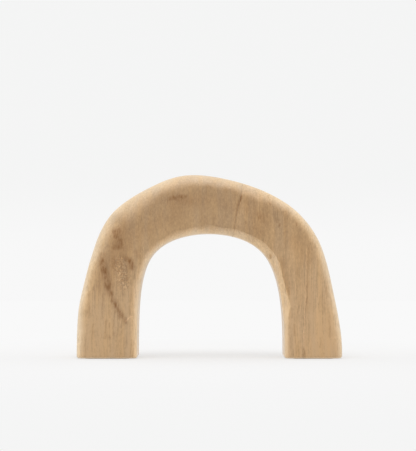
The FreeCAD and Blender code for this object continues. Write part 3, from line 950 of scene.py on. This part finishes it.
def felt_look():
    """Pressed wool felt: matted fibres in every direction."""
    material, nodes = new_material("wool_felt")
    place = nodes.place()
    swirl = nodes.noise(place, (500, 500, 500), 2.0, 0.5, 2.0).outputs[0]
    fibres = nodes.noise(place, (2600, 900, 900), 3.0, 0.6, 1.5).outputs[0]
    crossed = nodes.noise(place, (900, 2600, 900), 3.0, 0.6, 1.5).outputs[0]
    mat = nodes.math("ADD", nodes.math("MULTIPLY", fibres, 0.5), nodes.math("MULTIPLY", crossed, 0.5))
    colour = nodes.mix(nodes.span(mat, 0.4, 0.6), (0.16, 0.11, 0.07, 1), (0.30, 0.22, 0.15, 1))
    colour = nodes.mix(nodes.math("MULTIPLY", swirl, 0.4), colour, (0.36, 0.28, 0.2, 1))
    shader = nodes.add("ShaderNodeBsdfPrincipled", {
        "Base Color": colour, "Roughness": 0.95, "Specular IOR Level": 0.15, "Sheen Weight": 0.5,
        "Sheen Roughness": 0.6})
    finish_material(nodes, shader, mat, 0.15 * MM)
    return material


# ---------------------------------------------------------------- the stage, the light and the camera

FLOOR_RADIUS = 2.0
FLOOR_NEAR, FLOOR_FAR = 0.16, 0.38
FLOOR_GLOW = 0.6
FLOOR_ALBEDO = 0.695
FLOOR_FRONT, FLOOR_MIDDLE = (0.909, 0.911, 0.909, 1), (0.922, 0.922, 0.922, 1)
FLOOR_BACK = (0.947, 0.947, 0.947, 1)
BACKDROP_LOW, BACKDROP_HIGH = (0.937, 0.937, 0.937, 1), (0.908, 0.910, 0.908, 1)
LIGHT_FRONT, LIGHT_ROUND, LIGHT_BACK, LIGHT_TOP = 0.1, 1.34, 0.62, 0.6
ROUND_SPAN, BACK_SPAN, HORIZON_SPAN = (-0.85, 0.25), (0.3, 0.8), (0.0, 0.05)


def floor_look():
    """White paper that also glows near the object, which pales the shadows on it, and turns into the bright
    surround further out.
    """
    material, nodes = new_material("paper_floor")
    place = nodes.place()
    tooth = nodes.noise(place, (700, 700, 700), 3.0, 0.6).outputs[0]
    depth = nodes.add("ShaderNodeSeparateXYZ", (place,)).outputs[1]
    tone = nodes.mix(nodes.span(depth, -0.8, -0.3), FLOOR_FRONT, FLOOR_MIDDLE)
    tone = nodes.mix(nodes.span(depth, 0.0, 0.2), tone, FLOOR_BACK)
    share = nodes.math("MULTIPLY_ADD", tooth, 0.01, FLOOR_ALBEDO / FLOOR_FRONT[0])
    paper_colour = nodes.add("ShaderNodeVectorMath", {0: tone, 3: share}, operation="SCALE").outputs[0]
    paper = nodes.add("ShaderNodeBsdfDiffuse", {"Color": paper_colour, "Roughness": 0.3})
    away = nodes.add("ShaderNodeVectorMath", (place,), operation="LENGTH").outputs[1]
    blend = nodes.span(away, FLOOR_NEAR, FLOOR_FAR)
    glow = nodes.add("ShaderNodeEmission", {"Color": tone, "Strength": 1.0})
    # Painted light: even near the object the paper glows by this share, so the shadows on it stay pale.
    blend = nodes.math("MULTIPLY_ADD", blend, 1 - FLOOR_GLOW, FLOOR_GLOW)
    surface = nodes.add("ShaderNodeMixShader", (blend, paper.outputs[0], glow.outputs[0]))
    nodes.add("ShaderNodeOutputMaterial", {"Surface": surface.outputs[0]})
    return material


def make_floor():
    """A wide flat disc under the object."""
    bm = bmesh.new()
    bmesh.ops.create_circle(bm, cap_ends=True, segments=96, radius=FLOOR_RADIUS)
    mesh = bpy.data.meshes.new("floor")
    bm.to_mesh(mesh)
    bm.free()
    mesh.materials.append(floor_look())
    floor = bpy.data.objects.new("floor", mesh)
    bpy.context.scene.collection.objects.link(floor)


def make_world():
    """Soft light from round about, and the pale backdrop that only the camera sees."""
    world = bpy.data.worlds.new("soft_box")
    world.use_nodes = True
    world.node_tree.nodes.clear()
    nodes = Nodes(world.node_tree)
    ray = nodes.add("ShaderNodeTexCoord").outputs["Generated"]
    parts = nodes.add("ShaderNodeSeparateXYZ", (ray,)).outputs
    backdrop = nodes.mix(nodes.span(parts[2], *HORIZON_SPAN), BACKDROP_LOW, BACKDROP_HIGH)
    round_share = nodes.span(parts[1], *ROUND_SPAN)
    top = nodes.math("MULTIPLY", nodes.math("MAXIMUM", parts[2], 0.0), LIGHT_TOP)
    level = nodes.math("MULTIPLY_ADD", round_share, LIGHT_ROUND - LIGHT_FRONT, LIGHT_FRONT)
    dimmer = nodes.span(parts[1], *BACK_SPAN, 0.0, LIGHT_ROUND - LIGHT_BACK)
    level = nodes.math("SUBTRACT", level, dimmer)
    level = nodes.math("MULTIPLY_ADD", top, nodes.math("SUBTRACT", 1.0, round_share), level)
    seen = nodes.add("ShaderNodeLightPath").outputs["Is Camera Ray"]
    colour = nodes.mix(seen, nodes.vector("MULTIPLY", level, (1, 1, 1)), backdrop)
    background = nodes.add("ShaderNodeBackground", {0: colour, 1: 1.0})
    nodes.add("ShaderNodeOutputWorld", {0: background.outputs[0]})
    bpy.context.scene.world = world


LAMP_PLACE = Vector((-0.12, -0.55, 1.4))
LAMP_SIZE = 1.1
LAMP_SHARE = 0.55
LAMP_AIM = Vector((0, 0, 0.08))


def make_lamp():
    """One wide soft lamp above and in front."""
    data = bpy.data.lights.new("overhead", "AREA")
    data.shape = "DISK"
    data.size = LAMP_SIZE
    away = LAMP_PLACE - LAMP_AIM
    data.energy = LAMP_SHARE * math.pi ** 2 * away.length_squared
    lamp = bpy.data.objects.new("overhead", data)
    lamp.location = LAMP_PLACE
    lamp.rotation_euler = away.to_track_quat("Z", "Y").to_euler()
    bpy.context.scene.collection.objects.link(lamp)


EYE_DISTANCE = 1.5
EYE_ACROSS = -1.2 * MM
EYE = Vector((EYE_ACROSS, LOW[1] - EYE_DISTANCE, 88.65 * MM))
AIM = Vector((EYE_ACROSS, LOW[1], 115.67 * MM))
LENS = 138.3


def make_camera():
    """The photo's view, a little from below."""
    data = bpy.data.cameras.new("camera")
    data.lens = LENS
    data.sensor_width = 36
    data.clip_start = 0.05
    camera = bpy.data.objects.new("camera", data)
    camera.location = EYE
    camera.rotation_euler = (AIM - EYE).to_track_quat("-Z", "Y").to_euler()
    bpy.context.scene.collection.objects.link(camera)
    bpy.context.scene.camera = camera


def dress(node, look):
    """Gives a carried-over CAD node its material."""
    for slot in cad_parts[node].material_slots:
        slot.material = look


bpy.context.scene.view_settings.view_transform = "Standard"
make_camera()
make_world()
make_lamp()
make_floor()

stroke = stroke_group()
LEFT_LIGHT, LEFT_DARK = (0.615, 0.402, 0.213, 1), (0.395, 0.243, 0.121, 1)
RIGHT_LIGHT, RIGHT_DARK = (0.640, 0.414, 0.217, 1), (0.41, 0.252, 0.123, 1)
LEFT_TONE, LEFT_UPRIGHT = 0.30, 0.15
RIGHT_TONE, RIGHT_UPRIGHT = 0.26, 0.55
# The inside and outside entries are the painted highlights on the inner and outer sides of the arch.
left_marks = {"zones": LEFT_ZONES, "stains": LEFT_STAINS + SEAM_DARK_LINE, "pale": LEFT_PALE, "swirls": SWIRLS,
              "inside": INNER_LEFT_HIGHLIGHT, "outside": OUTER_LEFT_HIGHLIGHT}
right_marks = {"zones": RIGHT_ZONES, "stains": RIGHT_STAINS + SEAM_DARK_LINE, "pale": RIGHT_PALE, "swirls": (),
               "inside": INNER_RIGHT_HIGHLIGHT, "outside": OUTER_RIGHT_HIGHLIGHT}
left_wood = wood("carved_left", LEFT_LIGHT, LEFT_DARK, left_marks, LEFT_TONE, LEFT_UPRIGHT, stroke)
right_wood = wood("carved_right", RIGHT_LIGHT, RIGHT_DARK, right_marks, RIGHT_TONE, RIGHT_UPRIGHT, stroke)
left_end = make_limb("left_limb_carved", "left_limb", "left_foot_pad", -1, left_wood)
make_limb("right_limb_carved", "right_limb", "right_foot_pad", 1, right_wood)
make_film("crown_glue_film", "crown_glue_line", left_end, glue_look())
felt = felt_look()
make_felt("left_felt", "left_foot_pad", felt)
make_felt("right_felt", "right_foot_pad", felt)
beech = dowel_look()
dress("front_dowel", beech)
dress("rear_dowel", beech)
